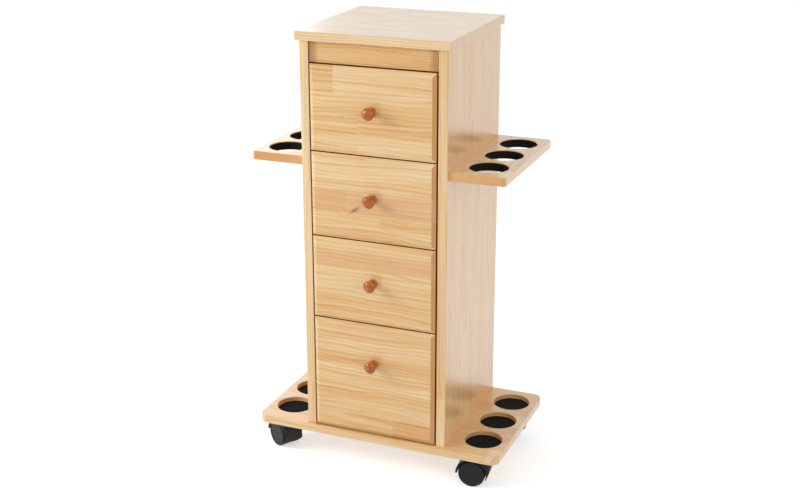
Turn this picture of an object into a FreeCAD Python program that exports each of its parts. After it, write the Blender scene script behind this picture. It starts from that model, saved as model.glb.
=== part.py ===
"""A wheeled pine drawer cabinet for fly tying: a tall column of four drawers on a wide base board.

Two shelves on the sides of the column have three through holes each, and the base board has three
blind pockets below each shelf, so that six rod tubes stand upright beside the drawers.
Millimetres, +Z up, the front faces -Y. The origin is on the floor, midway across the
base board and midway between the knobs and the back.
One STEP file is written for each sub-part.
"""

import FreeCAD, Part
import math
import os

os.makedirs("parts", exist_ok=True)
V = FreeCAD.Vector

# ---------------------------------------------------------------------------- driving dimensions
# Column
column_width = 254.0            # over both side panels
column_depth = 258.0
side_thickness = 16.0
header_height = 34.5            # rail above the top drawer
header_thickness = 16.0
header_recess = 2.5             # behind the front edges of the side panels
back_thickness = 6.0
back_lap = 8.0                  # width of the rebate that takes the back panel
arris = 1.5                     # eased edge of a board

# Top board
top_thickness = 15.0
top_side_overhang = 6.5
top_front_overhang = 5.0

# Base board
base_width = 443.0
base_thickness = 15.0
base_front_overhang = 6.0
base_corner_radius = 16.0

# Rod shelves and the rod holes, which stand above the pockets in the base
shelf_width = 94.5              # out from the side panel
shelf_thickness = 15.0
shelf_height = 465.5            # underside above the base board
shelf_front_setback = 5.0
shelf_corner_radius = 5.0
rod_count = 3
rod_pitch = 78.5
rod_from_side = 51.0            # centre of a hole out from the side panel
hole_diameter = 63.5
hole_rim = 1.0                  # eased rim of a hole
liner_wall = 1.5
pocket_depth = 7.0              # down to the pad
pilot_diameter = 5.0            # left through the board by the lead point of the cutter
pad_diameter = 62.5             # let into the floor of the pocket
pad_thickness = 1.5

# Drawers
upper_drawers = 3
upper_front_height = 143.0
bottom_front_height = 200.5
front_gap = 2.0                 # above and below every front
front_side_gap = 2.0
front_thickness = 16.0
front_proud = 4.0               # its flat field stands before the edges of the side panels
bevel_width = 6.5
bevel_depth = 3.5
drawer_side_thickness = 12.0
drawer_side_gap = 2.5           # between a drawer side and the side panel
drawer_back_thickness = 12.0
drawer_bottom_thickness = 4.0
drawer_bottom_rise = 8.0        # underside of the bottom above the lower edge of the sides
drawer_box_below = 10.0         # lower edge of the sides above the lower edge of the front
drawer_box_above = 15.0         # upper edge of the sides below the upper edge of the front
drawer_rear_space = 8.0         # behind a closed drawer
side_housing = 6.0              # a side let into the front
back_housing = 4.0              # a drawer back let into the sides
bottom_housing = 5.0            # the bottom let into its grooves

# Wooden runners, which ride in a groove in each drawer side
runner_thickness = 7.5
runner_height = 12.0
runner_rise = 60.0              # centre above the lower edge of the drawer front
runner_setback = 4.0            # behind the back of the drawer fronts

# Knobs
knob_drop = 70.0                # below the upper edge of the front
knob_projection = 22.0
knob_diameter = 21.0
knob_neck_diameter = 11.0
knob_foot_diameter = 16.5
knob_foot_height = 1.5
knob_neck_height = 9.0
knob_rim_height = 16.5

# Casters: a hood with two wheels under a square plate
caster_height = 57.0
caster_inset = 40.0             # swivel axis in from the edges of the base
caster_trail = 13.0             # wheel axle behind the swivel axis
wheel_diameter = 46.0
wheel_width = 15.0
wheel_edge_radius = 2.5
wheel_face_recess = 0.8
wheel_rim_width = 3.0
wheel_hollow_depth = 9.0
wheel_wall = 3.5
wheel_hub_diameter = 14.0
axle_diameter = 6.0
axle_reach = 10.0               # into each wheel
web_thickness = 9.0             # hood web between the wheels
hood_wall = 2.8
hood_nose_length = 18.5         # hood beyond the swivel axis
hood_nose_drop = 10.0           # start of the nose's slope below the top of the hood
hood_cheek_bulge = 1.5          # of the nose's front, out from a straight line
hood_nose_radius = 12.0         # of the nose's two corners, seen from above
hood_apron_radius = 9.0         # of its two lower corners, seen from in front
hood_tip_turn = 27.0            # lowest point of the nose, degrees below level from the axle
hood_lip_turn = 10.0            # where the nose leaves the curve of the cover
hood_boss_diameter = 19.0
kingpin_diameter = 6.0
kingpin_length = 24.0
plate_size = 38.0
plate_thickness = 2.5
plate_corner_radius = 5.0
plate_screw_spacing = 28.0

# Fasteners
dowel_diameter = 8.0
dowel_length = 30.0
top_dowel_depth = 10.0          # blind in the top board
dowel_end_space = 0.5
screw_diameter = 4.0
screw_head_diameter = 8.0
case_screw_length = 40.0
small_screw_diameter = 3.5
small_screw_head_diameter = 7.0
runner_screw_length = 19.0
caster_screw_length = 8.0
knob_screw_length = 27.0
pan_head_height = 2.4
pan_head_round = 1.4            # of its upper edge
nail_diameter = 1.6
nail_head_diameter = 3.2
nail_head_height = 0.8
nail_length = 20.0
nails_per_side = 5
fastener_end_inset = 40.0       # first and last fastener of a row, in from the end of its joint
shelf_screw_inset = 15.0        # first and last screw of a shelf; the others lie between its holes

# Clearances
glue_gap = 0.05                 # round a dowel, screw, liner or pressed pin
running_gap = 0.05              # round a turning pin
seat_gap = 0.3                  # between a moving face and what carries it
groove_gap = 0.2                # over the thickness of a panel in its groove
wheel_side_gap = 0.7
wheel_hood_gap = 2.0

# ---------------------------------------------------------------------------- places that follow
front_y = -(column_depth - front_proud - knob_projection) / 2.0
rear_y = front_y + column_depth
base_front_y = front_y - base_front_overhang
base_top_z = caster_height + base_thickness
inner_x = column_width / 2.0 - side_thickness
outer_x = column_width / 2.0
column_height = (
    front_gap + bottom_front_height + upper_drawers * (front_gap + upper_front_height)
    + front_gap + header_height
)
column_top_z = base_top_z + column_height
back_front_y = rear_y - back_thickness

shelf_bottom_z = base_top_z + shelf_height
shelf_top_z = shelf_bottom_z + shelf_thickness
shelf_front_y = front_y + shelf_front_setback
rod_x = outer_x + rod_from_side
rod_middle_y = (shelf_front_y + rear_y) / 2.0
rod_ys = [rod_middle_y + rod_pitch * (i - (rod_count - 1) / 2.0) for i in range(rod_count)]

front_face_y = front_y - front_proud
front_back_y = front_face_y + front_thickness
drawer_rear_y = back_front_y - drawer_rear_space
drawer_outer_x = inner_x - drawer_side_gap
drawer_inner_x = drawer_outer_x - drawer_side_thickness
runner_inner_x = inner_x - runner_thickness
runner_front_y = front_back_y + runner_setback
runner_rear_y = back_front_y
stem_x = base_width / 2.0 - caster_inset
stem_front_y = base_front_y + caster_inset
stem_rear_y = rear_y - caster_inset

# The drawers, from the top one down: lower edge and height of each front.
drawer_fronts = []
for number in range(upper_drawers):
    steps_up = upper_drawers - 1 - number
    lower_z = base_top_z + 2.0 * front_gap + bottom_front_height + steps_up * (upper_front_height + front_gap)
    drawer_fronts.append((lower_z, upper_front_height))
drawer_fronts.append((base_top_z + front_gap, bottom_front_height))

# The casters: place of the swivel axis, and the compass direction in which the wheels trail, degrees.
casters = {
    "front_left": (-stem_x, stem_front_y, 149.0),
    "front_right": (stem_x, stem_front_y, 186.0),
    "rear_left": (-stem_x, stem_rear_y, 6.0),
    "rear_right": (stem_x, stem_rear_y, 160.0),
}


# ---------------------------------------------------------------------------- shape helpers
touching = 0.001                # an edge this near a plane lies in it


def box(x0, x1, y0, y1, z0, z1):
    """A box between two values on each axis, given in either order."""
    low = V(min(x0, x1), min(y0, y1), min(z0, z1))
    return Part.makeBox(abs(x1 - x0), abs(y1 - y0), abs(z1 - z0), low)


def rod(radius, length, at, direction):
    """A plain cylinder from a point along a direction."""
    return Part.makeCylinder(radius, length, at, direction)


def placed(shape, at, direction):
    """A shape that was built along -Z, turned to a direction and moved to a point."""
    copy = shape.copy()
    copy.Placement = FreeCAD.Placement(at, FreeCAD.Rotation(V(0, 0, -1), direction))
    return copy


def cut_all(shape, tools):
    """The shape less every tool."""
    return shape.cut(tools) if tools else shape


def eased(shape, radius, chosen):
    """Rounds the edges that chosen() picks."""
    return shape.makeFillet(radius, [edge for edge in shape.Edges if chosen(edge)])


def spread(start, end, count, inset):
    """Evenly spaced places between two ends, the outer ones in from the ends by the inset."""
    first = start + inset
    step = (end - start - 2.0 * inset) / (count - 1)
    return [first + i * step for i in range(count)]


def plan_board(x0, x1, y0, y1, z0, z1, radii):
    """A board with its corners rounded in plan. radii go round from (x0, y0) anticlockwise."""
    corners = [V(x0, y0, z0), V(x1, y0, z0), V(x1, y1, z0), V(x0, y1, z0)]
    edges = []
    ends = []
    for i, corner in enumerate(corners):
        before = (corners[i - 1] - corner).normalize()
        after = (corners[(i + 1) % 4] - corner).normalize()
        radius = radii[i]
        start = corner + before * radius
        end = corner + after * radius
        if radius > 0:
            middle = corner + (before + after) * (radius * (1.0 - math.sqrt(0.5)))
            edges.append(Part.Arc(start, middle, end).toShape())
        ends.append((start, end))
    for i in range(4):
        edges.append(Part.LineSegment(ends[i][1], ends[(i + 1) % 4][0]).toShape())
    wire = Part.Wire(Part.sortEdges(edges)[0])
    return Part.Face(wire).extrude(V(0, 0, z1 - z0))


def is_level(edge):
    """True for an edge that lies in one horizontal plane."""
    return edge.BoundBox.ZLength < touching


def revolved(outline, axis_point, axis):
    """The solid that a closed outline sweeps in a full turn."""
    return Part.Face(Part.Wire(outline)).revolve(axis_point, axis, 360)


def chain(points):
    """Straight edges from each point to the next."""
    return [Part.makeLine(a, b) for a, b in zip(points, points[1:])]


def save(name, shapes):
    """Writes one sub-part, which is one solid or a group of like solids."""
    shape = shapes[0] if len(shapes) == 1 else Part.makeCompound(shapes)
    shape.exportStep("parts/" + name + ".step")


# ---------------------------------------------------------------------------- fasteners
def flat_screw(diameter, head_diameter, length, grow=0.0):
    """A countersunk wood screw down -Z from its flat head, or its hole when grown by a clearance."""
    radius = diameter / 2.0 + grow
    head_radius = head_diameter / 2.0 + grow
    head_height = head_radius - radius
    tip_height = diameter
    outline = chain([
        V(0, 0, 0),
        V(head_radius, 0, 0),
        V(radius, 0, -head_height),
        V(radius, 0, -(length - tip_height)),
        V(0, 0, -(length + grow)),
        V(0, 0, 0),
    ])
    return revolved(outline, V(0, 0, 0), V(0, 0, 1))


def pan_screw(diameter, head_diameter, length, grow=0.0):
    """A round-headed screw down -Z, its head above zero. Grown by a clearance it is the shank's hole."""
    radius = diameter / 2.0 + grow
    shank = rod(radius, length + grow, V(0, 0, 0), V(0, 0, -1))
    if grow:
        return shank
    head = rod(head_diameter / 2.0, pan_head_height, V(0, 0, 0), V(0, 0, 1))
    head = eased(head, pan_head_round, lambda edge: edge.BoundBox.ZMin > pan_head_height - touching)
    return head.fuse(shank).removeSplitter()


def dowel(grow=0.0):
    """A glued dowel centred on the joint along Z, or its two holes as one."""
    length = dowel_length + (2.0 * dowel_end_space if grow else 0.0)
    return rod(dowel_diameter / 2.0 + grow, length, V(0, 0, -length / 2.0), V(0, 0, 1))


def nail(grow=0.0):
    """A brad down -Z from the top of its head, or its hole."""
    head = rod(nail_head_diameter / 2.0 + grow, nail_head_height, V(0, 0, 0), V(0, 0, -1))
    shank = rod(nail_diameter / 2.0 + grow, nail_length + grow, V(0, 0, 0), V(0, 0, -1))
    return head.fuse(shank).removeSplitter()


panel_middle_x = (inner_x + outer_x) / 2.0
row_ys = spread(front_y, rear_y, 3, fastener_end_inset)
lap_x = inner_x + back_lap / 2.0
shelf_screw_ys = [y + rod_pitch / 2.0 for y in rod_ys[:-1]]
shelf_screw_ys = [shelf_front_y + shelf_screw_inset] + shelf_screw_ys + [rear_y - shelf_screw_inset]
shelf_middle_z = (shelf_bottom_z + shelf_top_z) / 2.0
header_front_y = front_y + header_recess
header_middle_y = header_front_y + header_thickness / 2.0
header_bottom_z = column_top_z - header_height
header_zs = spread(header_bottom_z, column_top_z, 2, dowel_diameter)
runner_zs = [lower_z + runner_rise for lower_z, height in drawer_fronts]
runner_ys = spread(runner_front_y, runner_rear_y, 2, fastener_end_inset)
nail_zs = spread(base_top_z, column_top_z, nails_per_side, fastener_end_inset)

UP = V(0, 0, 1)
DOWN = V(0, 0, -1)

top_dowel_z = column_top_z + top_dowel_depth - dowel_length / 2.0
top_dowel_places = [(V(s * panel_middle_x, y, top_dowel_z), UP) for s in (-1, 1) for y in row_ys]
header_dowel_places = [(V(s * inner_x, header_middle_y, z), V(1, 0, 0)) for s in (-1, 1) for z in header_zs]
base_screw_places = [(V(s * panel_middle_x, y, caster_height), UP) for s in (-1, 1) for y in row_ys]
shelf_screw_places = [
    (V(s * inner_x, y, shelf_middle_z), V(s, 0, 0)) for s in (-1, 1) for y in shelf_screw_ys
]
runner_screw_places = [
    (V(s * runner_inner_x, y, z), V(s, 0, 0)) for s in (-1, 1) for z in runner_zs for y in runner_ys
]
nail_places = [(V(s * lap_x, rear_y, z), V(0, -1, 0)) for s in (-1, 1) for z in nail_zs]
plate_reach = plate_screw_spacing / 2.0
plate_corners = [(i * plate_reach, j * plate_reach) for i in (-1, 1) for j in (-1, 1)]
plate_z = caster_height - plate_thickness
caster_screw_places = [
    (V(x + i, y + j, plate_z), UP) for x, y, heading in casters.values() for i, j in plate_corners
]


def all_dowels(grow=0.0):
    """The case dowels, or the holes for them."""
    return [placed(dowel(grow), at, way) for at, way in top_dowel_places + header_dowel_places]


def base_screws(grow=0.0):
    """Screws up through the base into the side panels."""
    screw = flat_screw(screw_diameter, screw_head_diameter, case_screw_length, grow)
    return [placed(screw, at, way) for at, way in base_screw_places]


def shelf_screws(grow=0.0):
    """Screws out through the side panels into the shelves."""
    screw = flat_screw(screw_diameter, screw_head_diameter, case_screw_length, grow)
    return [placed(screw, at, way) for at, way in shelf_screw_places]


def runner_screws(grow=0.0):
    """Two screws through each runner."""
    screw = flat_screw(small_screw_diameter, small_screw_head_diameter, runner_screw_length, grow)
    return [placed(screw, at, way) for at, way in runner_screw_places]


def back_nails(grow=0.0):
    """The brads of the back panel."""
    return [placed(nail(grow), at, way) for at, way in nail_places]


def caster_screws(grow=0.0):
    """Four short screws through each caster plate."""
    screw = pan_screw(small_screw_diameter, small_screw_head_diameter, caster_screw_length, grow)
    return [placed(screw, at, way) for at, way in caster_screw_places]


save("case_dowels", all_dowels())
save("base_screws", base_screws())
save("shelf_screws", shelf_screws())
save("runner_screws", runner_screws())
save("back_panel_nails", back_nails())
save("caster_screws", caster_screws())


# ---------------------------------------------------------------------------- column
def side_panel(side):
    """An upright panel with a rebate for the back, and its fastener holes."""
    panel = box(side * inner_x, side * outer_x, front_y, rear_y, base_top_z, column_top_z)

    def outer_upright(edge):
        upright = edge.BoundBox.ZLength > column_height / 2.0
        at_front = edge.BoundBox.YMax < front_y + touching
        outside = abs(edge.BoundBox.Center.x) > outer_x - touching
        return upright and (at_front or outside)

    panel = eased(panel, arris, outer_upright)
    rebate = box(side * inner_x, side * (inner_x + back_lap), back_front_y, rear_y, base_top_z, column_top_z)
    holes = all_dowels(glue_gap) + base_screws(glue_gap) + shelf_screws(glue_gap)
    holes += runner_screws(glue_gap) + back_nails(glue_gap)
    near = [hole for hole in holes if hole.BoundBox.Center.x * side > 0]
    return cut_all(panel, [rebate] + near)


save("side_panel_left", [side_panel(-1)])
save("side_panel_right", [side_panel(1)])

header_back_y = header_front_y + header_thickness
header = box(-inner_x, inner_x, header_front_y, header_back_y, header_bottom_z, column_top_z)
save("header_rail", [cut_all(header, all_dowels(glue_gap))])

back = box(-inner_x - back_lap, inner_x + back_lap, back_front_y, rear_y, base_top_z, column_top_z)
save("back_panel", [cut_all(back, back_nails(glue_gap))])

top = box(
    -outer_x - top_side_overhang, outer_x + top_side_overhang, front_y - top_front_overhang, rear_y,
    column_top_z, column_top_z + top_thickness,
)
top = eased(top, arris, lambda edge: True)
save("top_board", [cut_all(top, all_dowels(glue_gap))])


# ---------------------------------------------------------------------------- base and shelves
hole_radius = hole_diameter / 2.0
rod_places = [(side * rod_x, y) for side in (-1, 1) for y in rod_ys]


def rim_cone(x, y, z, way):
    """The cone that eases the rim of a hole; way is the side of the board that the rim is on."""
    radius = hole_radius + hole_rim
    return Part.makeCone(radius, hole_radius, hole_rim, V(x, y, z), V(0, 0, -way))


base_x = base_width / 2.0
corner_radii = [base_corner_radius] * 4
base = plan_board(-base_x, base_x, base_front_y, rear_y, caster_height, base_top_z, corner_radii)
base = eased(base, arris, is_level)
pockets = [rod(hole_radius, pocket_depth, V(x, y, base_top_z), DOWN) for x, y in rod_places]
pocket_rims = [rim_cone(x, y, base_top_z, 1) for x, y in rod_places]
pad_top_z = base_top_z - pocket_depth
pad_radius = pad_diameter / 2.0
pad_seats = [rod(pad_radius + glue_gap, pad_thickness, V(x, y, pad_top_z), DOWN) for x, y in rod_places]
pilots = [rod(pilot_diameter / 2.0, base_thickness, V(x, y, base_top_z), DOWN) for x, y in rod_places]
fixings = base_screws(glue_gap) + caster_screws(glue_gap)
base = cut_all(base, pockets + pocket_rims + pad_seats + pilots + fixings)
save("base_board", [base])
save("rod_pocket_pads", [rod(pad_radius, pad_thickness, V(x, y, pad_top_z), DOWN) for x, y in rod_places])


def rod_shelf(side):
    """A shelf screwed to the side panel, rounded at its two free corners, with its rod holes."""
    x0, x1 = sorted((side * outer_x, side * (outer_x + shelf_width)))
    radius = shelf_corner_radius
    radii = [0, radius, radius, 0] if side > 0 else [radius, 0, 0, radius]
    shelf = plan_board(x0, x1, shelf_front_y, rear_y, shelf_bottom_z, shelf_top_z, radii)
    joint_x = side * outer_x
    shelf = eased(shelf, arris, lambda e: is_level(e) and abs(e.BoundBox.Center.x - joint_x) > touching)
    tools = []
    for y in rod_ys:
        tools.append(rod(hole_radius, shelf_thickness, V(side * rod_x, y, shelf_bottom_z), UP))
        tools.append(rim_cone(side * rod_x, y, shelf_top_z, 1))
        tools.append(rim_cone(side * rod_x, y, shelf_bottom_z, -1))
    return cut_all(shelf, tools + shelf_screws(glue_gap))


save("rod_shelf_left", [rod_shelf(-1)])
save("rod_shelf_right", [rod_shelf(1)])

liner_radius = hole_radius - glue_gap
liner_height = shelf_thickness - 2.0 * hole_rim
liners = []
for x, y in rod_places:
    foot = V(x, y, shelf_bottom_z + hole_rim)
    tube = rod(liner_radius, liner_height, foot, UP)
    liners.append(tube.cut(rod(liner_radius - liner_wall, liner_height, foot, UP)))
save("rod_hole_liners", liners)

# ---------------------------------------------------------------------------- runners
runners = []
for side in (-1, 1):
    for z in runner_zs:
        strip = box(
            side * runner_inner_x, side * inner_x, runner_front_y, runner_rear_y,
            z - runner_height / 2.0, z + runner_height / 2.0,
        )
        here = [hole for hole in runner_screws(glue_gap) if hole.BoundBox.Center.x * side > 0]
        runners.append(cut_all(strip, here))
save("drawer_runners", runners)


# ---------------------------------------------------------------------------- drawers
def knob(y, z):
    """A turned mushroom knob: a short foot, a waisted neck and a domed head."""
    foot_radius = knob_foot_diameter / 2.0
    neck_radius = knob_neck_diameter / 2.0
    head_radius = knob_diameter / 2.0
    dome_height = knob_projection - knob_rim_height
    dome_radius = (head_radius ** 2 + dome_height ** 2) / (2.0 * dome_height)
    dome_turn = math.atan2(head_radius, dome_radius - dome_height) / 2.0
    half = math.sqrt(0.5)
    foot_top = V(foot_radius, y - knob_foot_height, z)
    neck = V(neck_radius, y - knob_neck_height, z)
    rim = V(head_radius, y - knob_rim_height, z)
    cove = V(
        neck_radius + (foot_radius - neck_radius) * (1.0 - half),
        y - knob_foot_height - (knob_neck_height - knob_foot_height) * (1.0 - half), z,
    )
    flare = V(
        neck_radius + (head_radius - neck_radius) * (1.0 - half),
        y - knob_neck_height - (knob_rim_height - knob_neck_height) * half, z,
    )
    crown = V(0, y - knob_projection, z)
    dome = crown + V(dome_radius * math.sin(dome_turn), dome_radius * (1.0 - math.cos(dome_turn)), 0)
    outline = [
        Part.makeLine(V(0, y, z), V(foot_radius, y, z)),
        Part.makeLine(V(foot_radius, y, z), foot_top),
        Part.Arc(foot_top, cove, neck).toShape(),
        Part.Arc(neck, flare, rim).toShape(),
        Part.Arc(rim, dome, crown).toShape(),
        Part.makeLine(crown, V(0, y, z)),
    ]
    return revolved(outline, V(0, y, z), V(0, 1, 0))


def bevelled_front(lower_z, height):
    """A drawer front with a bevel round its face."""
    half_width = inner_x - front_side_gap
    upper_z = lower_z + height
    bevel_y = front_face_y + bevel_depth
    slab = box(-half_width, half_width, bevel_y, front_back_y, lower_z, upper_z)
    face = Part.makeWedge(
        -half_width + bevel_width, front_face_y, lower_z + bevel_width, lower_z, -half_width,
        half_width - bevel_width, bevel_y, upper_z - bevel_width, upper_z, half_width,
    )
    return slab.fuse(face).removeSplitter()


def drawer(number, lower_z, height):
    """One drawer: front, two grooved sides, back, bottom, knob and knob screw."""
    name = "drawer_%d_" % number
    box_z0 = lower_z + drawer_box_below
    box_z1 = lower_z + height - drawer_box_above
    housing_y = front_back_y - side_housing
    back_y = drawer_rear_y - drawer_back_thickness
    bottom_z0 = box_z0 + drawer_bottom_rise
    bottom_z1 = bottom_z0 + drawer_bottom_thickness

    groove = box(
        -drawer_inner_x - bottom_housing, drawer_inner_x + bottom_housing,
        front_back_y - bottom_housing, back_y + bottom_housing,
        bottom_z0 - groove_gap / 2.0, bottom_z1 + groove_gap / 2.0,
    )
    bottom = box(
        -drawer_inner_x - bottom_housing + seat_gap, drawer_inner_x + bottom_housing - seat_gap,
        front_back_y - bottom_housing + seat_gap, back_y + bottom_housing - seat_gap,
        bottom_z0, bottom_z1,
    )
    back = box(
        -drawer_inner_x - back_housing, drawer_inner_x + back_housing, back_y, drawer_rear_y, box_z0, box_z1
    )

    runner_z = lower_z + runner_rise
    side_blanks = []
    sides = []
    for side in (-1, 1):
        blank = box(side * drawer_inner_x, side * drawer_outer_x, housing_y, drawer_rear_y, box_z0, box_z1)
        way = box(
            side * (runner_inner_x - seat_gap), side * drawer_outer_x, front_back_y, drawer_rear_y,
            runner_z - runner_height / 2.0 - seat_gap, runner_z + runner_height / 2.0 + seat_gap,
        )
        side_blanks.append(blank)
        sides.append(blank.cut([way, groove, back]))

    knob_z = lower_z + height - knob_drop
    screw_head = V(0, front_back_y, knob_z)
    screw = pan_screw(screw_diameter, screw_head_diameter, knob_screw_length)
    screw = placed(screw, screw_head, V(0, -1, 0))
    screw_way = pan_screw(screw_diameter, screw_head_diameter, knob_screw_length, glue_gap)
    screw_way = placed(screw_way, screw_head, V(0, -1, 0))
    front = cut_all(bevelled_front(lower_z, height), side_blanks + [groove, screw_way])
    save(name + "front", [front])
    save(name + "sides", sides)
    save(name + "back", [back.cut(groove)])
    save(name + "bottom", [bottom])
    save(name + "knob", [knob(front_face_y, knob_z).cut(screw_way)])
    save(name + "knob_screw", [screw])


for index, (lower_z, height) in enumerate(drawer_fronts):
    drawer(index + 1, lower_z, height)

# ---------------------------------------------------------------------------- casters
# Each is built with its swivel axis on Z and its axle along X, trailing towards -Y, then turned.
wheel_radius = wheel_diameter / 2.0
hood_top_z = plate_z - seat_gap
wheel_inner_x = web_thickness / 2.0 + wheel_side_gap
wheel_outer_x = wheel_inner_x + wheel_width
hood_inner_radius = wheel_radius + wheel_hood_gap
hood_outer_radius = hood_inner_radius + hood_wall
AXLE_WAY = V(1, 0, 0)


def at_axle(forward, up):
    """A point in the caster's middle plane, measured from the axle: forward to the swivel axis, and up."""
    return V(0, forward - caster_trail, wheel_radius + up)


def on_circle(radius, degrees):
    """A point on a circle round the axle, counted from straight forward, upwards."""
    turn = math.radians(degrees)
    return at_axle(radius * math.cos(turn), radius * math.sin(turn))


def hood():
    """The hood: a cover over both wheels with a nose at the swivel end, and the web that holds the axle."""
    nose = caster_trail + hood_nose_length
    shoulder_z = hood_outer_radius
    tip = on_circle(hood_inner_radius + hood_wall / 2.0, -hood_tip_turn)
    lip = on_circle(hood_inner_radius, -hood_lip_turn)
    shoulder = at_axle(nose - hood_nose_drop, shoulder_z)
    brow = at_axle(nose, shoulder_z - hood_nose_drop)
    brow_mid = at_axle(
        nose - hood_nose_drop * (1.0 - math.sqrt(0.5)), shoulder_z - hood_nose_drop * (1.0 - math.sqrt(0.5))
    )
    cheek = (brow + tip) * 0.5 + V(0, hood_cheek_bulge, 0)
    outline = [
        Part.Arc(on_circle(hood_outer_radius, 180.0), on_circle(hood_outer_radius, 135.0),
                 on_circle(hood_outer_radius, 90.0)).toShape(),
        Part.makeLine(on_circle(hood_outer_radius, 90.0), shoulder),
        Part.Arc(shoulder, brow_mid, brow).toShape(),
        Part.Arc(brow, cheek, tip).toShape(),
        Part.makeLine(tip, lip),
        Part.Arc(lip, on_circle(hood_inner_radius, 90.0), on_circle(hood_inner_radius, 180.0)).toShape(),
        Part.makeLine(on_circle(hood_inner_radius, 180.0), on_circle(hood_outer_radius, 180.0)),
    ]
    cover = Part.Face(Part.Wire(outline)).extrude(V(2.0 * wheel_outer_x, 0, 0))
    cover.translate(V(-wheel_outer_x, 0, 0))
    reach = caster_trail + hood_outer_radius
    corners = [0, 0, hood_nose_radius, hood_nose_radius]
    rounded_nose = plan_board(
        -wheel_outer_x, wheel_outer_x, -reach, hood_nose_length, 0, caster_height, corners
    )
    corners = [hood_apron_radius, hood_apron_radius, 0, 0]
    rounded_apron = plan_board(
        -wheel_outer_x, wheel_outer_x, tip.z, caster_height, -hood_nose_length, reach, corners
    )
    rounded_apron.rotate(V(0, 0, 0), V(1, 0, 0), 90)
    cover = cover.common(rounded_nose).common(rounded_apron)
    middle = (hood_inner_radius + hood_outer_radius) / 2.0
    web_start = V(-web_thickness / 2.0, 0, 0)
    web_disc = rod(middle, web_thickness, web_start + at_axle(0, 0), AXLE_WAY)
    below = box(
        -wheel_outer_x, wheel_outer_x, -caster_trail - middle, middle, wheel_radius - middle, wheel_radius
    )
    eye = rod(axle_diameter, web_thickness, web_start + at_axle(0, 0), AXLE_WAY)
    boss_foot_z = wheel_radius + hood_inner_radius
    boss = rod(hood_boss_diameter / 2.0, hood_top_z - boss_foot_z, V(0, 0, boss_foot_z), UP)
    solid = cover.fuse([web_disc.cut(below), eye, boss]).removeSplitter()
    axle_way = rod(axle_diameter / 2.0 + glue_gap, web_thickness, web_start + at_axle(0, 0), AXLE_WAY)
    pin_way_z = caster_height - kingpin_length - seat_gap
    pin_way = rod(kingpin_diameter / 2.0 + running_gap, caster_height, V(0, 0, pin_way_z), UP)
    return solid.cut([axle_way, pin_way])


def wheel(side):
    """One hollow wheel, closed outside, that turns on half of the axle."""
    def ring(across, radius):
        return V(side * across, -caster_trail, wheel_radius + radius)

    bore = axle_diameter / 2.0 + running_gap
    bore_end = wheel_inner_x + axle_reach + seat_gap
    edge = wheel_edge_radius
    quarter = edge * (1.0 - math.sqrt(0.5))
    face_radius = wheel_radius - wheel_rim_width
    face_x = wheel_outer_x - wheel_face_recess
    hollow_x = wheel_inner_x + wheel_hollow_depth
    outline = chain([
        ring(bore_end, 0),
        ring(bore_end, bore),
        ring(wheel_inner_x, bore),
        ring(wheel_inner_x, wheel_hub_diameter / 2.0),
        ring(hollow_x, wheel_hub_diameter / 2.0),
        ring(hollow_x, wheel_radius - wheel_wall),
        ring(wheel_inner_x, wheel_radius - wheel_wall),
        ring(wheel_inner_x, wheel_radius - edge / 2.0),
        ring(wheel_inner_x + edge / 2.0, wheel_radius),
        ring(wheel_outer_x - edge, wheel_radius),
    ])
    outline.append(Part.Arc(
        ring(wheel_outer_x - edge, wheel_radius), ring(wheel_outer_x - quarter, wheel_radius - quarter),
        ring(wheel_outer_x, wheel_radius - edge),
    ).toShape())
    outline += chain([
        ring(wheel_outer_x, wheel_radius - edge),
        ring(wheel_outer_x, face_radius),
        ring(face_x, face_radius - wheel_face_recess),
        ring(face_x, 0),
        ring(bore_end, 0),
    ])
    return revolved(outline, at_axle(0, 0), AXLE_WAY)


def turned(shape, x, y, heading):
    """A caster piece turned so that the wheels trail along the heading, and set below its plate."""
    copy = shape.copy()
    copy.Placement = FreeCAD.Placement(V(x, y, 0), FreeCAD.Rotation(UP, heading + 90.0))
    return copy


axle_length = 2.0 * (wheel_inner_x + axle_reach)
axle = rod(axle_diameter / 2.0, axle_length, V(-axle_length / 2.0, 0, 0) + at_axle(0, 0), AXLE_WAY)
hood_shape = hood()
plates = []
kingpins = []
for place, (x, y, heading) in casters.items():
    name = "caster_" + place
    save(name + "_hood", [turned(hood_shape, x, y, heading)])
    save(name + "_axle", [turned(axle, x, y, heading)])
    save(name + "_wheel_1", [turned(wheel(-1), x, y, heading)])
    save(name + "_wheel_2", [turned(wheel(1), x, y, heading)])
    half = plate_size / 2.0
    corners = [plate_corner_radius] * 4
    plate = plan_board(x - half, x + half, y - half, y + half, plate_z, caster_height, corners)
    pin_hole = rod(kingpin_diameter / 2.0 + glue_gap, plate_thickness, V(x, y, plate_z), UP)
    plates.append(cut_all(plate, [pin_hole] + caster_screws(glue_gap)))
    kingpins.append(rod(kingpin_diameter / 2.0, kingpin_length, V(x, y, caster_height), DOWN))
save("caster_plates", plates)
save("caster_kingpins", kingpins)
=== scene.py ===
import math

import bpy
import numpy as np
from mathutils import Matrix, Vector


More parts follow.
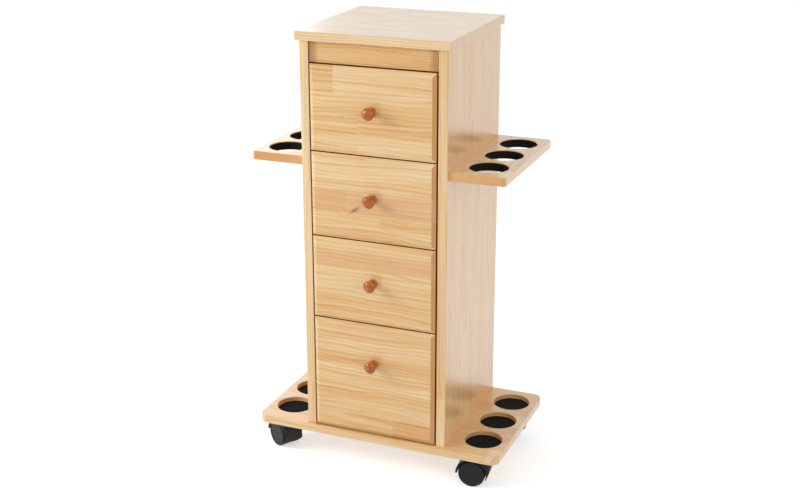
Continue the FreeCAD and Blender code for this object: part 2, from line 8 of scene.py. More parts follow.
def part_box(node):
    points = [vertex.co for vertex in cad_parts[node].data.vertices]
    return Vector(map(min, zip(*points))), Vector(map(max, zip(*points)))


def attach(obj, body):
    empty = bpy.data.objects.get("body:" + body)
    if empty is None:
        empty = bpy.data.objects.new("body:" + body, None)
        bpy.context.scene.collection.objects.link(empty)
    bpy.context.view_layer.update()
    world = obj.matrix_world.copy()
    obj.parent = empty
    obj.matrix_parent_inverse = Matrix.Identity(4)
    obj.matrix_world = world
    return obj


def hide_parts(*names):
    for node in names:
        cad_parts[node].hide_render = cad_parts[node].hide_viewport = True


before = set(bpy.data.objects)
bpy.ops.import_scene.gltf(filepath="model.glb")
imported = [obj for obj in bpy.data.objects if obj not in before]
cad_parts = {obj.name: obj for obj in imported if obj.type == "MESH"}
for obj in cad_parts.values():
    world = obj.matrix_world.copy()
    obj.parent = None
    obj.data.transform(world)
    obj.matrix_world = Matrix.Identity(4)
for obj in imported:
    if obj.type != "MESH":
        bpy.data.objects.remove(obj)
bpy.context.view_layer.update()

# ------------------------------------------------------------------ base board
# A wide board of edge-glued pine staves with finger-jointed blocks, its long grain across
# the cabinet, sanded, with eased edges and round corners, under a clear satin lacquer.

COLUMN_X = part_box("side_panel_right")[1].x  # outer faces of the column
POCKETS_X = 0.2108  # the pockets' walls lie within these, and the board's own edges outside them
POCKETS_FRONT, POCKETS_BACK = -0.11, 0.13
FRONT_EDGE_Y = -0.118  # the front edge of the base board lies before this
CORNER_FADE = 0.020
HAIR = 0.0001  # a tenth of a millimetre


class Wire:
    """One output of a finish's nodes. Arithmetic written on it adds Math nodes."""

    def __init__(self, finish, socket):
        self.finish, self.socket = finish, socket

    def other(self, out):
        """Another output of the same node."""
        return Wire(self.finish, self.socket.node.outputs[out])

    def math(self, operation, *terms):
        """This value through one Math node, with the node's other terms after it."""
        return self.finish.math(operation, self, *terms)

    def __add__(self, other):
        return self.math("ADD", other)

    __radd__ = __add__

    def __sub__(self, other):
        return self.math("SUBTRACT", other)

    def __rsub__(self, other):
        return self.finish.math("SUBTRACT", other, self)

    def __mul__(self, other):
        return self.math("MULTIPLY", other)

    __rmul__ = __mul__

    def __truediv__(self, other):
        return self.math("DIVIDE", other)

    def __rtruediv__(self, other):
        return self.finish.math("DIVIDE", other, self)

    def __pow__(self, other):
        return self.math("POWER", other)

    def __rpow__(self, other):
        return self.finish.math("POWER", other, self)

    def __abs__(self):
        return self.math("ABSOLUTE")

    def __gt__(self, other):
        return self.math("GREATER_THAN", other)

    def __lt__(self, other):
        return self.math("LESS_THAN", other)


class Finish:
    """A surface finish: one material, or the world, with its shader and the nodes that drive it."""

    def __init__(self, name, world=None, **constants):
        self.material = world or bpy.data.materials.new(name)
        self.material.use_nodes = True
        self.tree = self.material.node_tree
        self.shader = self.tree.nodes["Background" if world else "Principled BSDF"]
        for key, value in constants.items():
            self.socket(key).default_value = value

    def socket(self, key):
        """The shader's input of that name, which is written in small letters with underscores."""
        return self.shader.inputs[key.replace("_", " ").title().replace("Ior", "IOR")]

    def node(self, kind, settings=(), inputs=(), out=0):
        """A node of that kind: its settings first, a ramp's stops among them, then its values and links."""
        made = self.tree.nodes.new(kind)
        for key, value in dict(settings).items():
            if key == "stops":
                ramp = made.color_ramp
                while len(ramp.elements) < len(value):
                    ramp.elements.new(1.0)
                for stop, (at, colour) in zip(ramp.elements, value):
                    stop.position = at
                    stop.color = tuple(colour) + (1.0,) * (4 - len(colour))
            elif key == "interpolation":
                made.color_ramp.interpolation = value
            else:
                setattr(made, key, value)
        for key, value in dict(inputs).items():
            if isinstance(value, Wire):
                self.tree.links.new(value.socket, made.inputs[key])
            else:
                made.inputs[key].default_value = value
        return Wire(self, made.outputs[out])

    def math(self, operation, *terms):
        """One Math node on those terms, each a wire or a number."""
        return self.node("ShaderNodeMath", {"operation": operation}, dict(enumerate(terms)))

    def parts(self, wire, kind="XYZ"):
        """The three numbers of a vector or, with kind "Color", of a colour."""
        first = self.node("ShaderNodeSeparate" + kind, {}, {0: wire})
        return first, first.other(1), first.other(2)

    def place(self):
        """(x, y, z) of the surface point in metres, each a wire."""
        return self.parts(self.node("ShaderNodeTexCoord", out="Object"))

    def vector(self, x, y, z):
        """Three values as one vector."""
        return self.node("ShaderNodeCombineXYZ", {}, {0: x, 1: y, 2: z})

    def noise(self, vector, detail=2.0, scale=1.0):
        """Soft noise from 0 to 1 about 0.5 at a vector."""
        return self.node("ShaderNodeTexNoise", {}, {"Vector": vector, "Scale": scale, "Detail": detail})

    def draw(self, number):
        """A value from 0 to 1 that is fixed for each number and looks drawn by lot."""
        return self.node("ShaderNodeTexWhiteNoise", {"noise_dimensions": "1D"}, {"W": number})

    def ramp(self, value, *stops):
        """The colour of a value on a ramp of stops, each a place and a colour."""
        return self.node("ShaderNodeValToRGB", {"stops": stops}, {0: value})

    def mix(self, share, under, over):
        """The colour under, and over it another one in that share."""
        under, over = (c if isinstance(c, Wire) else c + (1.0,) for c in (under, over))
        return self.node("ShaderNodeMix", {"data_type": "RGBA"}, {0: share, 6: under, 7: over}, out=2)

    def feed(self, **wires):
        """Links wires to the shader's sockets of those names."""
        for key, wire in wires.items():
            self.tree.links.new(wire.socket, self.socket(key))

    def relief(self, height, distance, strength=1.0):
        """A Bump node on the shader's normal: height 1 stands that far out, in metres."""
        bump = {"Height": height, "Distance": distance, "Strength": strength}
        self.feed(Normal=self.node("ShaderNodeBump", {}, bump))


CREAM = (0.87, 0.655, 0.37)
HONEY = (0.75, 0.46, 0.175)
AMBER = (0.65, 0.285, 0.065)
TAN = (0.46, 0.18, 0.036)
RUSSET = (0.20, 0.045, 0.006)
PEACH = (0.74, 0.41, 0.20)
# ORANGE is used only for painted warm light reflected between the boards
ORANGE = (0.87, 0.43, 0.12)


def even_staves(finish, along, across, stave, block, seed):
    """Numbers for the stave and the block that a point is in. Staves have one width, and each is a row of
    finger-jointed blocks of one length, with a start drawn by lot."""
    lane = (across / stave + 0.37 * seed).math("FLOOR")
    start = finish.draw(lane + 13.7 * seed)
    return lane, (along / block + start * 5.0).math("FLOOR")


def listed_staves(finish, along, across, low, high, staves):
    """The same from a list of staves between two edges of a board, then the tone of the block and how peach
    the stave is. A stepped ramp from edge to edge holds the list: joint, left tone, right tone, peach."""
    stops = [((edge - low) / (high - low), (0.5 + joint, left, right, peach))
             for edge, joint, left, right, peach in staves]
    held = finish.node("ShaderNodeValToRGB", {"interpolation": "CONSTANT", "stops": stops},
                       {0: (across - low) / (high - low)})
    joint, left, right = finish.parts(held, "Color")
    block = along > joint - 0.5
    lane = joint * 7.0 + left * 31.0 + right * 17.0
    return lane, block, left + block * (right - left), held.other("Alpha")


def pine(name, grain, width, stave=0.045, block=0.31, glued=None, seed=1.0, tone=0.22, spread=0.30,
         ring=0.0042, line=0.46, streaks=0.3, knots=(), ends=(0.35, 0.35), cut=None, bare_and_gap_shade_tint=0.62,
         warm=None, lacquer=1.0, film=1.55, rough=0.42):
    """Solid pine. In each glued block the growth rings are circles about a pith line that lies beside or
    behind the board and leans a little along the grain, so faces show long lines and ends show arcs. The
    colour runs from cream to tan with block tone + latewood + soft patches + streaks + fibres.

    grain, width: the axes along and across the staves. stave, block: the staves' width and the blocks'
    length, or glued: two edges of the board and a list of its staves. tone, spread: the blocks' mean tone and
    how far they differ. ring, line: the rings' spacing and the depth of their lines. knots: place along and
    across, half length, half width and turn of each. ends: amber on the two ends of the grain. cut: a mask
    of bare wood, tinted russet by bare_and_gap_shade_tint: the wood's own darker tone, and at strong tints
    painted shade
    of the gaps beside it. warm: a mask of orange: painted warm light reflected from the boards nearby, and
    on the side panels also an even warmer tone. lacquer, film: the coat's weight and its index of refraction."""
    finish = Finish(name, coat_weight=lacquer, coat_roughness=0.2, coat_ior=film, roughness=rough,
                    specular_ior_level=0.2)
    x, y, z = finish.place()
    axes = {"x": x, "y": y, "z": z}
    along, across = axes.pop(grain), axes.pop(width)
    deep = axes.popitem()[1]

    def drawn_out(slowly, waves, detail=2.0):
        """Noise with that many waves per metre across the grain, and slow changes along it."""
        return finish.noise(finish.vector(slowly, across * waves, deep * waves), detail)

    # The blocks, and for each one three values drawn by lot: where its pith line lies and how it leans.
    if glued:
        lane, run, level, peach = listed_staves(finish, along, across, *glued)
    else:
        lane, run = even_staves(finish, along, across, stave, block, seed)
    lot = finish.node("ShaderNodeTexWhiteNoise", {"noise_dimensions": "3D"},
                      {"Vector": finish.vector(lane, run, seed)}, out="Color")
    beside, behind, lean = finish.parts(lot, "Color")
    if not glued:
        level = tone + (lean - 0.5) * spread

    # The rings: the distance from the pith line over their spacing, made unsteady by soft noise.
    slow = finish.noise(finish.vector(along * 5.0 + beside * 40.0, across * 9.0, deep * 9.0 + seed), 1.0)
    side = across + (beside - 0.5) * 0.16 + (slow - 0.5) * 0.016
    depth = deep + along * (lean - 0.5) * 0.09 + (behind * 0.09 + 0.02)
    wavy = drawn_out(along * 14.0, 60.0)
    rings = (side * side + depth * depth) ** 0.5 / ring + (wavy - 0.5) * 1.1 + (slow - 0.5) * 1.6

    # The knots: k is 1 on the outline of each, and the rings bulge round it.
    dark = 0.0
    for at, off, half_length, half_width, turn in knots:
        c, s = math.cos(turn), math.sin(turn)
        du, dv = along - at, across - off
        k = ((du * c + dv * s) / half_length) ** 2.0 + ((dv * c - du * s) / half_width) ** 2.0
        rings = rings + (k * -0.12).math("EXPONENT") * 2.6
        dark = dark + (k * -1.1).math("EXPONENT")

    # Latewood: each ring darkens slowly and ends sharply, some more than others.
    grown = rings.math("FRACT")
    late = grown ** 2.0 * (1.0 - grown ** 7.0) * (finish.draw(rings.math("FLOOR") + lane) * 1.2 + 0.4)
    fibre = drawn_out(along * 22.0, 900.0, 3.0)
    patch = drawn_out(along * 4.0 + lane, 38.0)
    streak = drawn_out(along * 5.0 + lane * 3.0, 150.0)

    # The ends of the grain, low and high, soak up the lacquer and turn amber. Amber given to one end
    # only, as on the drawer fronts' right-facing bevels, is painted shade of the side turned from the key
    # lamp.
    normal = finish.parts(finish.node("ShaderNodeTexCoord", out="Normal"))
    facing = [abs(part) for part in normal]
    grain_axis = "xyz".index(grain)
    soak_and_shade = (normal[grain_axis] > 0.0) * (ends[1] - ends[0]) + ends[0]
    end_grain = ((facing[grain_axis] - 0.25) * 1.4).math("MAXIMUM", 0.0) * soak_and_shade

    value = level + late * line + (patch - 0.5) * 0.55 + (streak - 0.5) * streaks + (fibre - 0.5) * 0.25
    colour = finish.ramp(value, (0.0, CREAM), (0.42, HONEY), (0.85, AMBER), (1.0, TAN))
    colour = finish.mix(end_grain.math("MINIMUM", 1.0), colour, AMBER)
    if glued:
        colour = finish.mix(peach * (0.35 + patch * 0.7), colour, PEACH)
    # Orange: painted warm light reflected from the boards nearby.
    if warm:
        colour = finish.mix(warm(x, y, z), colour, ORANGE)
    if knots:
        colour = finish.mix(dark * 0.85, colour, RUSSET)
    # Bare faces lose the lacquer and turn towards russet: the wood's own darker tone, and at strong tints
    # painted shade of the gaps beside them.
    if cut:
        sawn = cut(x, y, z, facing)
        colour = finish.mix(sawn * bare_and_gap_shade_tint, colour, RUSSET)
        finish.feed(Coat_Weight=(1.0 - sawn) * lacquer)
        rough = sawn * 0.4 + rough
    finish.feed(Base_Color=colour, Roughness=rough - 0.06 + (fibre - 0.5) * 0.2)
    finish.relief(fibre * 0.5 + late * 0.5, 0.00012)
    return finish.material


def coat(material, *names):
    """Gives CAD nodes a material in place of the plain one they were packed with."""
    for name in names:
        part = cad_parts[name]
        if not part.material_slots:
            part.data.materials.append(material)
        for held in part.material_slots:
            held.material = material


def pocket_walls(x, y, z, facing):
    """1 on the walls of the base board's pockets: upright faces inside its outline."""
    return (facing[2] < 0.5) * (abs(x) < POCKETS_X) * (y > POCKETS_FRONT) * (y < POCKETS_BACK)


def beside_column(x, y, z):
    """0.6 where a board meets the column, and fading outwards: painted warm light reflected from the column.
    """
    fading = ((abs(x) - COLUMN_X) * (-1.0 / CORNER_FADE)).math("EXPONENT")
    return fading * (abs(x) > COLUMN_X - HAIR) * (y > FRONT_EDGE_Y) * 0.6


# The orange beside the column is painted warm reflected light.
coat(pine("pine_base_board", "x", "y", seed=3.0, tone=0.20, cut=pocket_walls, bare_and_gap_shade_tint=0.12,
          warm=beside_column, film=1.75),
     "base_board")

# ----------------------------------------------------------------- pocket pads
# Six discs of black closed-cell foam, each let into the floor of a round pocket of the
# base board and glued there, so that a rod tube stands on it softly.

pads_low, pads_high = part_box("rod_pocket_pads")
PAD_FLOOR = pads_low.z
PAD_HEIGHT = pads_high.z - pads_low.z
PAD_RADIUS = 0.03125
PAD_RIM = 0.0007
PAD_CROWN = 0.00035
ROD_X = pads_high.x - PAD_RADIUS
ROD_YS = (-0.063, 0.0155, 0.094)


def new_piece(name, points, faces):
    """A smooth piece of those points and faces, with its object at the origin."""
    mesh = bpy.data.meshes.new(name)
    mesh.from_pydata(points, [], faces)
    mesh.polygons.foreach_set("use_smooth", [True] * len(faces))
    piece = bpy.data.objects.new(name, mesh)
    bpy.context.scene.collection.objects.link(piece)
    return piece


def turned(name, radius, height, centres, steps=96):
    """A closed turned shape at each centre. radius and height are the profile from pole to pole; the point at
    profile t and angle a is (cx + r(t) cos a, cy + r(t) sin a, cz + h(t)), and the end points are poles."""
    angle = np.arange(steps) / steps * 2 * np.pi
    ring_r, ring_h = radius[1:-1], height[1:-1]
    rows = len(ring_r)
    circles = np.stack([np.outer(ring_r, np.cos(angle)), np.outer(ring_r, np.sin(angle)),
                        np.repeat(ring_h[:, None], steps, 1)], -1).reshape(-1, 3)
    one = np.concatenate([[[0, 0, height[0]]], circles, [[0, 0, height[-1]]]])
    j, i = np.meshgrid(np.arange(rows - 1), np.arange(steps), indexing="ij")
    a = 1 + j * steps + i
    b = 1 + j * steps + (i + 1) % steps
    quads = np.stack([a, b, b + steps, a + steps], -1).reshape(-1, 4)
    k = np.arange(steps)
    last = 1 + rows * steps
    low_fan = np.stack([np.zeros(steps, int), 1 + (k + 1) % steps, 1 + k], -1)
    high_fan = np.stack([np.full(steps, last), last - steps + k, last - steps + (k + 1) % steps], -1)
    faces = []
    for n in range(len(centres)):
        first = n * len(one)
        for group in (quads, low_fan, high_fan):
            faces += (group + first).tolist()
    points = np.concatenate([one + np.array(centre) for centre in centres])
    return new_piece(name, points.tolist(), faces)


def foam(name):
    """Black closed-cell foam: a matt skin with fine pits about 0.7 mm apart and a slightly greyer bloom."""
    finish = Finish(name, roughness=0.82, specular_ior_level=0.12)
    spot = finish.vector(*finish.place())
    cells = finish.node("ShaderNodeTexVoronoi", {}, {"Vector": spot, "Scale": 1500.0})
    bloom = finish.noise(spot, 3.0, 60.0)
    colour = finish.mix(bloom, (0.0035, 0.004, 0.005), (0.010, 0.011, 0.0125))
    finish.feed(Base_Color=colour, Roughness=0.72 + bloom * 0.2)
    finish.relief(cells, 0.0003, 0.7)
    return finish.material


def soft_disc(radius, thickness, edge, crown, across=8, around=9):
    """Profile of a foam disc from its lower pole to its upper one: flat below, a rounded rim, and a crown
    above, h = thickness - crown (r / radius)^2."""
    flat = np.linspace(0, radius - edge, across)
    turn = np.linspace(-np.pi / 2, np.pi / 2, around)[1:-1]
    half = (thickness - crown) / 2
    r = np.concatenate([flat, radius - edge + edge * np.cos(turn), flat[::-1]])
    h = np.concatenate([np.zeros(across), half + half * np.sin(turn),
                        thickness - crown * (flat[::-1] / radius) ** 2])
    return r, h


black_foam = foam("foam_black")
pad_r, pad_h = soft_disc(PAD_RADIUS - HAIR, PAD_HEIGHT, PAD_RIM, PAD_CROWN)
pads = turned("rod_pocket_foam", pad_r, pad_h, [(s * ROD_X, y, PAD_FLOOR) for s in (-1, 1) for y in ROD_YS])
pads.data.materials.append(black_foam)
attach(pads, "cabinet")
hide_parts("rod_pocket_pads")

# ----------------------------------------------------------------- side panels
# Two tall panels of glued pine staves, grain upright. Their plain front edges are the
# stiles that frame the drawers. They stand on the base board on screws from below.

BASE_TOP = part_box("base_board")[1].z
SHELF_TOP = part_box("rod_shelf_right")[1].z
INNER_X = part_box("side_panel_right")[0].x
PANEL_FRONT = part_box("side_panel_right")[0].y


def inner_face(x, y, z, facing):
    """1 inside the case behind the front edges, where the wood has no lacquer; its strong russet tint is
    painted shade of the gaps beside the drawers.
    """
    return (abs(x) < INNER_X + 4 * HAIR) * (y > PANEL_FRONT + 3 * HAIR)


def above_boards(x, y, z):
    """Outer faces: 0.2 as their tone, and up to 0.6 above the base board and the rod shelf, fading upwards:
    painted warm light reflected from those boards.
    """
    base = ((z - BASE_TOP) * -22.0).math("EXPONENT")
    shelf = ((z - SHELF_TOP) * -30.0).math("EXPONENT") * (z > SHELF_TOP)
    return ((base + shelf).math("MINIMUM", 1.0) * 0.4 + 0.2) * (abs(x) > COLUMN_X - 3 * HAIR)


# The russet inside is painted shade of the gaps; the orange above the boards is painted reflected light.
for side, seed in (("left", 5.0), ("right", 8.0)):
    coat(pine("pine_side_" + side, "z", "y", stave=0.043, block=0.36, seed=seed, tone=0.18, spread=0.18,
              cut=inner_face, bare_and_gap_shade_tint=0.95, warm=above_boards, film=1.72),
         "side_panel_" + side)

# ------------------------------------------------------ header rail, top board
# A pine rail closes the front above the drawers, set back a little between the side panels.
# The top board overhangs it at the front and sides, flush at the back, and is dowelled down.

RAIL_CORNER = 0.017  # painted shade: the rail is darker this near its ends, where it is set back between the side panels


def gap_shade_edge(x, y, z, facing):
    """1 on faces that don't look forwards: bare wood, tinted dark as painted shade of the gaps beside them.
    """
    return facing[1] < 0.4


def rail_ends(x, y, z, facing):
    """The same, and up to 0.5 in the corners at the rail's ends: painted shade of its recess there."""
    corner = ((abs(x) - (INNER_X - RAIL_CORNER)) * 60.0).math("MAXIMUM", 0.0).math("MINIMUM", 0.5)
    return gap_shade_edge(x, y, z, facing).math("MAXIMUM", corner)


# The rail's gap faces and end corners are tinted dark: painted shade.
coat(pine("pine_header_rail", "x", "z", stave=0.06, seed=11.0, tone=0.38, spread=0.1, cut=rail_ends,
          bare_and_gap_shade_tint=0.85),
     "header_rail")
coat(pine("pine_top_board", "x", "y", seed=14.0, tone=0.12, spread=0.08, film=2.1), "top_board")

# ------------------------------------------------------------------ back panel
# Thin birch plywood, let into a rebate of the side panels and nailed. The drawer bottoms
# are cut from the same sheet and slide in grooves of the drawer boxes.

DRAWERS = (1, 2, 3, 4)  # from the top one down


def birch_ply(name):
    """Birch veneer: broad loops of ring lines, from noise stretched upright, over a pale even ground."""
    finish = Finish(name, roughness=0.62)
    x, y, z = finish.place()
    loop = finish.noise(finish.vector(x * 9.0, y * 9.0, z * 1.6))
    lines = (loop * 26.0).math("SINE") * 0.5 + 0.5
    fibre = finish.noise(finish.vector(x * 500.0, y * 500.0, z * 14.0), 3.0)
    value = lines * 0.45 + (fibre - 0.5) * 0.8 + 0.2
    finish.feed(Base_Color=finish.ramp(value, (0.0, (0.74, 0.56, 0.36)), (1.0, (0.58, 0.40, 0.22))))
    finish.relief(fibre, 0.00008)
    return finish.material


coat(birch_ply("plywood_birch"), "back_panel", *["drawer_%d_bottom" % n for n in DRAWERS])

# ---------------------------------------------------------------- rod shelves
# One pine board on each side of the column, grain from front to back, screwed on from
# inside. Three holes in each hold rod tubes upright over the pockets of the base board.

for side, seed, front_amber in (("left", 17.0, 1.15), ("right", 20.0, 0.8)):
    # The orange beside the column is painted warm reflected light.
    coat(pine("pine_shelf_" + side, "y", "x", stave=0.05, seed=seed, tone=0.16, spread=0.2,
              ends=(front_amber, 0.55), warm=beside_column, film=1.7),
         "rod_shelf_" + side)

# Each hole is lined with a tube of the black foam, glued in and cut off flush below its rim.

LINER_LOW, LINER_HIGH = (corner.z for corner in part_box("rod_hole_liners"))
LINER_OUTER = 0.0317
LINER_WALL = 0.0015


def liner_tubes(name, centres, steps=120, around=28):
    """A foam tube at each centre: a closed rounded rectangle, wall wide and the hole's height tall, carried
    round the hole. Point (a, t): radius = middle + wall/2 c(t), height = mid + tall/2 s(t), with c and s a
    superellipse of power 6, and its edge waves by 0.1 mm as cut foam does."""
    a = np.arange(steps)[:, None] / steps * 2 * np.pi
    t = np.arange(around)[None, :] / around * 2 * np.pi
    c = np.sign(np.cos(t)) * np.abs(np.cos(t)) ** (1 / 3.0)
    s = np.sign(np.sin(t)) * np.abs(np.sin(t)) ** (1 / 3.0)
    wave = HAIR * np.sin(5 * a + 1.0) * np.sin(11 * a)
    radius = LINER_OUTER - HAIR / 2 - LINER_WALL / 2 * (1 - c) - np.abs(wave) * (1 - c) / 2
    height = (LINER_LOW + LINER_HIGH) / 2 + ((LINER_HIGH - LINER_LOW) / 2 - HAIR) * s + wave * s
    one = np.stack([radius * np.cos(a), radius * np.sin(a), height], -1).reshape(-1, 3)
    i, j = np.meshgrid(np.arange(steps), np.arange(around), indexing="ij")
    i2, j2 = (i + 1) % steps, (j + 1) % around
    corners = [i * around + j, i2 * around + j, i2 * around + j2, i * around + j2]
    quads = np.stack(corners, -1).reshape(-1, 4)
    points = np.concatenate([one + np.array([cx, cy, 0]) for cx, cy in centres])
    faces = np.concatenate([quads + n * len(one) for n in range(len(centres))])
    return new_piece(name, points.tolist(), faces.tolist())


liners = liner_tubes("rod_hole_foam", [(s * ROD_X, y) for s in (-1, 1) for y in ROD_YS])
liners.data.materials.append(black_foam)
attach(liners, "cabinet")
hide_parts("rod_hole_liners")

# ------------------------------------------------------------ runners, dowels
# Planed hardwood strips screwed inside the side panels carry the drawers in their grooves.
# Beech dowels join the rail and the top board to the side panels.


def plain_wood(name, grain, pale, dark, rough=0.5, coat_weight=0.0, scale=1.0):
    """Close-grained hardwood: fine fibres along the grain and a few broad darker bands."""
    finish = Finish(name, roughness=rough, coat_weight=coat_weight, coat_roughness=0.04,
                    specular_ior_level=0.1)
    axes = dict(zip("xyz", finish.place()))
    along = axes.pop(grain) * scale
    p, q = (axis * scale for axis in axes.values())
    fibre = finish.noise(finish.vector(along * 30.0, p * 800.0, q * 800.0), 3.0)
    band = finish.noise(finish.vector(along * 7.0, p * 110.0, q * 110.0))
    colour = finish.ramp(band * 0.7 + fibre * 0.3, (0.25, pale), (0.75, dark))
    finish.feed(Base_Color=colour, Roughness=rough - 0.05 + fibre * 0.1)
    finish.relief(fibre, 0.00008)
    return finish.material


coat(plain_wood("beech_runner", "y", (0.70, 0.50, 0.30), (0.52, 0.33, 0.17)), "drawer_runners")
coat(plain_wood("beech_dowel", "z", (0.72, 0.54, 0.34), (0.56, 0.38, 0.21)), "case_dowels")

# ----------------------------------------------------------- screws and nails
# Steel wood screws, pan-head screws and brads with a thin bright zinc plating. The casters'
# mounting plates, swivel pins and axles are plated in the same way.

CASTERS = ("front_left", "front_right", "rear_left", "rear_right")


def zinc(name):
    """Zinc plate: bright steel grey with a faint mottled haze."""
    finish = Finish(name, metallic=1.0, roughness=0.3)
    haze = finish.noise(finish.vector(*finish.place()), 3.0, 420.0)
    finish.feed(Base_Color=finish.ramp(haze, (0.3, (0.52, 0.53, 0.54)), (0.7, (0.70, 0.71, 0.73))),
                Roughness=0.22 + haze * 0.2)
    return finish.material


coat(zinc("zinc_plated_steel"), "base_screws", "shelf_screws", "runner_screws", "back_panel_nails",
     "caster_plates", "caster_kingpins", "caster_screws", *["drawer_%d_knob_screw" % n for n in DRAWERS],
     *["caster_%s_axle" % place for place in CASTERS])

# --------------------------------------------------------------- drawer fronts
# Four pine fronts, each glued from a few staves with the grain across and bevelled all round
# its face. A screw through each holds its knob.

# The staves of each front from the bottom up: lower edge, place of the finger joint across
# the front, tone left and right of it, and how peach the stave is. A joint at 0.3 or more
# lies beyond the front, so that the stave is whole, and its number picks other timber.
drawer_staves = {
    1: [(0.5665, -0.025, 0.24, 0.22, 0.0), (0.600, -0.024, 0.32, 0.28, 0.0),
        (0.628, -0.060, 0.31, 0.38, 0.0), (0.646, 0.30, 0.17, 0.17, 0.0),
        (0.6655, -0.067, 0.40, 0.15, 0.0)],
    2: [(0.4215, 0.31, 0.26, 0.26, 0.0), (0.445, 0.012, 0.24, 0.34, 0.0),
        (0.467, -0.048, 0.40, 0.28, 0.45), (0.5055, 0.32, 0.17, 0.17, 0.0)],
    3: [(0.2765, 0.33, 0.34, 0.34, 0.0), (0.312, -0.012, 0.26, 0.30, 0.0),
        (0.340, 0.35, 0.20, 0.20, 0.0), (0.371, 0.34, 0.42, 0.42, 0.45),
        (0.400, 0.36, 0.30, 0.30, 0.1)],
    4: [(0.0740, 0.034, 0.30, 0.46, 0.1), (0.106, 0.37, 0.28, 0.28, 0.15),
        (0.1315, 0.38, 0.40, 0.40, 0.0), (0.150, 0.39, 0.24, 0.24, 0.0),
        (0.196, 0.050, 0.50, 0.40, 0.0), (0.217, 0.40, 0.17, 0.17, 0.2)],
}
pin_knot = (-0.031, 0.4735, 0.0105, 0.0028, 0.62)
for n, staves in drawer_staves.items():
    lower_edge, upper_edge = (corner.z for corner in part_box("drawer_%d_front" % n))
    # Amber only on the right-facing bevels, and the dark tint on the edges in the gaps, are painted shade.
    coat(pine("pine_drawer_front_%d" % n, "x", "z", glued=(lower_edge, upper_edge, staves),
              seed=20.0 + 3.0 * n, knots=[pin_knot] if n == 2 else (), ring=0.0070, line=0.42,
              streaks=0.7, ends=(0.0, 3.2), cut=gap_shade_edge, bare_and_gap_shade_tint=0.86),
         "drawer_%d_front" % n)

# --------------------------------------------------------------- drawer boxes
# Sides and back of unfinished pine, planed, glued and housed together behind each front. The
# sides are grooved outside, where the runners carry the drawer, and inside for its bottom.

for n in DRAWERS:
    for board, grain, first_seed in (("sides", "y", 40.0), ("back", "x", 50.0)):
        coat(pine("pine_drawer_%s_%d" % (board, n), grain, "z", stave=0.2, block=0.9, seed=first_seed + n,
                  tone=0.24, lacquer=0.0, rough=0.6),
             "drawer_%d_%s" % (n, board))

# ----------------------------------------------------------------------- knobs
# Turned hardwood knobs, stained reddish brown and gloss lacquered, each drawn up by one
# screw from inside the drawer.

coat(plain_wood("stained_knob", "y", (0.64, 0.185, 0.008), (0.28, 0.045, 0.002), rough=0.5,
                coat_weight=0.7, scale=1.3),
     *["drawer_%d_knob" % n for n in DRAWERS])

# --------------------------------------------------------------------- casters
# Twin-wheel swivel casters of moulded nylon: a hood over two dished wheels on one axle. Each
# turns on a steel pin under a plate that is screwed to the base board.


def nylon(name, colour, pale, rough):
    """Moulded nylon: near black, with a fine spark-eroded texture and faint flow marks."""
    finish = Finish(name, roughness=rough, specular_ior_level=0.2)
    spot = finish.vector(*finish.place())
    grit = finish.noise(spot, 2.0, 2600.0)
    flow = finish.noise(spot, 3.0, 70.0)
    finish.feed(Base_Color=finish.mix(flow, colour, pale), Roughness=rough - 0.08 + flow * 0.16)
    finish.relief(grit, 0.00005, 0.6)
    return finish.material


hood_nylon = nylon("nylon_hood", (0.006, 0.0065, 0.007), (0.012, 0.013, 0.014), 0.42)
wheel_nylon = nylon("nylon_wheel", (0.009, 0.0095, 0.010), (0.016, 0.017, 0.018), 0.38)
for place in CASTERS:
    coat(hood_nylon, "caster_%s_hood" % place)
    coat(wheel_nylon, "caster_%s_wheel_1" % place, "caster_%s_wheel_2" % place)

# ---------------------------------------------------------------------- studio
# A white paper floor that keeps a soft shadow, even white surroundings, and three large soft
# lamps: a key from the left, a fill from the right, and a faint sheen from behind.

FLOOR_HALF = 9.0
FLOOR_Z = -0.0004
BLACK, WHITE = (0.0, 0.0, 0.0), (1.0, 1.0, 1.0)

floor_corners = [(-FLOOR_HALF, -FLOOR_HALF, FLOOR_Z), (FLOOR_HALF, -FLOOR_HALF, FLOOR_Z),
                 (FLOOR_HALF, FLOOR_HALF, FLOOR_Z), (-FLOOR_HALF, FLOOR_HALF, FLOOR_Z)]
floor = new_piece("floor", floor_corners, [(0, 1, 2, 3)])


def seen_white(finish, unseen):
    """White to the camera and in reflections, and the colour unseen to every other ray."""
    rays = finish.node("ShaderNodeLightPath", out="Is Camera Ray")
    seen = (rays + rays.other("Is Glossy Ray") + rays.other("Is Transmission Ray")).math("MINIMUM", 1.0)
    return finish.mix(seen, unseen, WHITE)


paper = Finish("white_paper", base_color=(0.82, 0.82, 0.82, 1.0), roughness=0.9, specular_ior_level=0.1,
               emission_strength=0.56)
paper.feed(Emission_Color=seen_white(paper, BLACK))
floor.data.materials.append(paper.material)

studio = bpy.data.worlds.new("studio")
bpy.context.scene.world = studio
surroundings = Finish("studio", world=studio, strength=1.0)
surroundings.feed(Color=seen_white(surroundings, (0.52, 0.52, 0.52)))


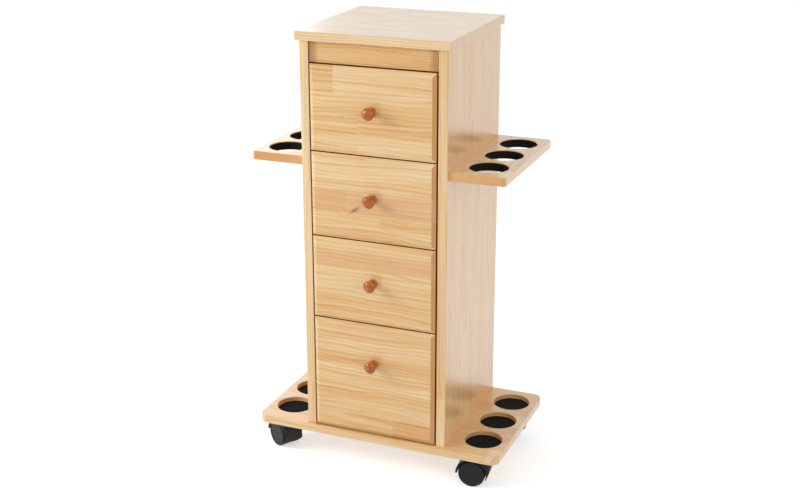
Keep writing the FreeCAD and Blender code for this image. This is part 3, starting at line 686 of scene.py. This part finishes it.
def softbox(name, spot, aim, size, watts):
    """A square white area lamp at spot, turned to aim."""
    lamp = bpy.data.lights.new(name, "AREA")
    lamp.shape, lamp.size, lamp.energy = "SQUARE", size, watts
    holder = bpy.data.objects.new(name, lamp)
    holder.location = spot
    holder.rotation_euler = (Vector(aim) - Vector(spot)).to_track_quat("-Z", "Y").to_euler()
    bpy.context.scene.collection.objects.link(holder)


softbox("key_left", (-2.45, -1.45, 1.55), (0.0, 0.0, 0.40), 1.2, 52.0)
softbox("fill_right", (2.6, -1.6, 1.5), (0.0, 0.0, 0.40), 1.8, 20.0)
softbox("sheen_behind", (-2.35, 2.8, 1.55), (0.0, 0.0, 0.45), 1.6, 6.5)

# The camera stands to the right of the front and looks down a little. Its lens and shift are
# worked out in pixels of an image of 800 by 500.

IMAGE_WIDTH, IMAGE_HEIGHT = 800, 500
FOCAL_LENGTH = 1358.6
AXIS_X, AXIS_Y = 372.6, 230.0  # where the lens points, from the upper left corner of the image
SENSOR_WIDTH = 36.0  # mm
YAW, PITCH, ROLL = 0.407, -0.324, -0.008  # radians

eye = Vector((0.8301, -2.045, 1.1472))
view_line = Vector((-math.sin(YAW) * math.cos(PITCH), math.cos(YAW) * math.cos(PITCH), math.sin(PITCH)))
level_right = Vector((math.cos(YAW), math.sin(YAW), 0.0))
level_up = level_right.cross(view_line)
right = level_right * math.cos(ROLL) + level_up * math.sin(ROLL)
up = right.cross(view_line)
camera = bpy.data.cameras.new("camera")
camera.sensor_width = SENSOR_WIDTH
camera.lens = FOCAL_LENGTH / IMAGE_WIDTH * SENSOR_WIDTH
camera.shift_x = (IMAGE_WIDTH / 2 - AXIS_X) / IMAGE_WIDTH
camera.shift_y = (AXIS_Y - IMAGE_HEIGHT / 2) / IMAGE_WIDTH
camera.clip_end = 50.0
viewer = bpy.data.objects.new("camera", camera)
viewer.matrix_world = Matrix.Translation(eye) @ Matrix((right, up, -view_line)).transposed().to_4x4()
bpy.context.scene.collection.objects.link(viewer)
bpy.context.scene.camera = viewer
bpy.context.scene.view_settings.view_transform = "Standard"
